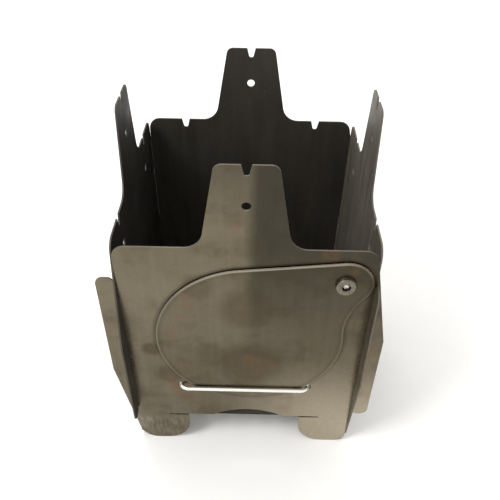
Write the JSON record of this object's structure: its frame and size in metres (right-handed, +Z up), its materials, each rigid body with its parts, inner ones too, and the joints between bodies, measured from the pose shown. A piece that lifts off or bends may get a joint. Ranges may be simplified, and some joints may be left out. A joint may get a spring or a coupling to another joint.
{
  "type": "rocket stove",
  "caption": "Flat-pack wood-burning camp stove of interlocking sheet-metal walls with pot-support tabs, a swinging round feed door and a perforated floor.",
  "frame": {"origin": "centre of the stove on the surface that its feet stand on", "axes": "+Z up; the feed door is in the front wall, which faces -Y; +X is to the right seen from the front"},
  "size_m": [0.173, 0.173, 0.2335],
  "materials": {
    "wall_sheet": "brushed sheet, dulled and tinted by heat",
    "bright_wire": "bright drawn wire",
    "rivet": "bright turned metal"
  },
  "bodies": {
    "right_side": {"right_wall": "wall_sheet"},
    "front_and_rear": {"front_wall": "wall_sheet", "rear_wall": "wall_sheet", "floor_plate": "wall_sheet", "door_catch": "bright_wire", "pivot_rivet": "rivet", "rivet_mandrel": "rivet", "front_washer": "rivet", "spacer_washer": "rivet", "back_washer": "rivet"},
    "left_side": {"left_wall": "wall_sheet"},
    "door": {"feed_door": "wall_sheet"}
  },
  "joints": [
    {"name": "front_and_rear_lift", "type": "slide", "parent": "right_side", "child": "front_and_rear", "axis": [0, 0, 1], "range_m": [0, 0.1]},
    {"name": "left_wall_lift", "type": "slide", "parent": "front_and_rear", "child": "left_side", "axis": [0, 0, 1], "range_m": [0, 0.1]},
    {"name": "door_swing", "type": "hinge", "parent": "front_and_rear", "child": "door", "pos_m": [0.0572, -0.07655, 0.1577], "axis": [0, 1, 0], "range_deg": [0, 95]}
  ]
}
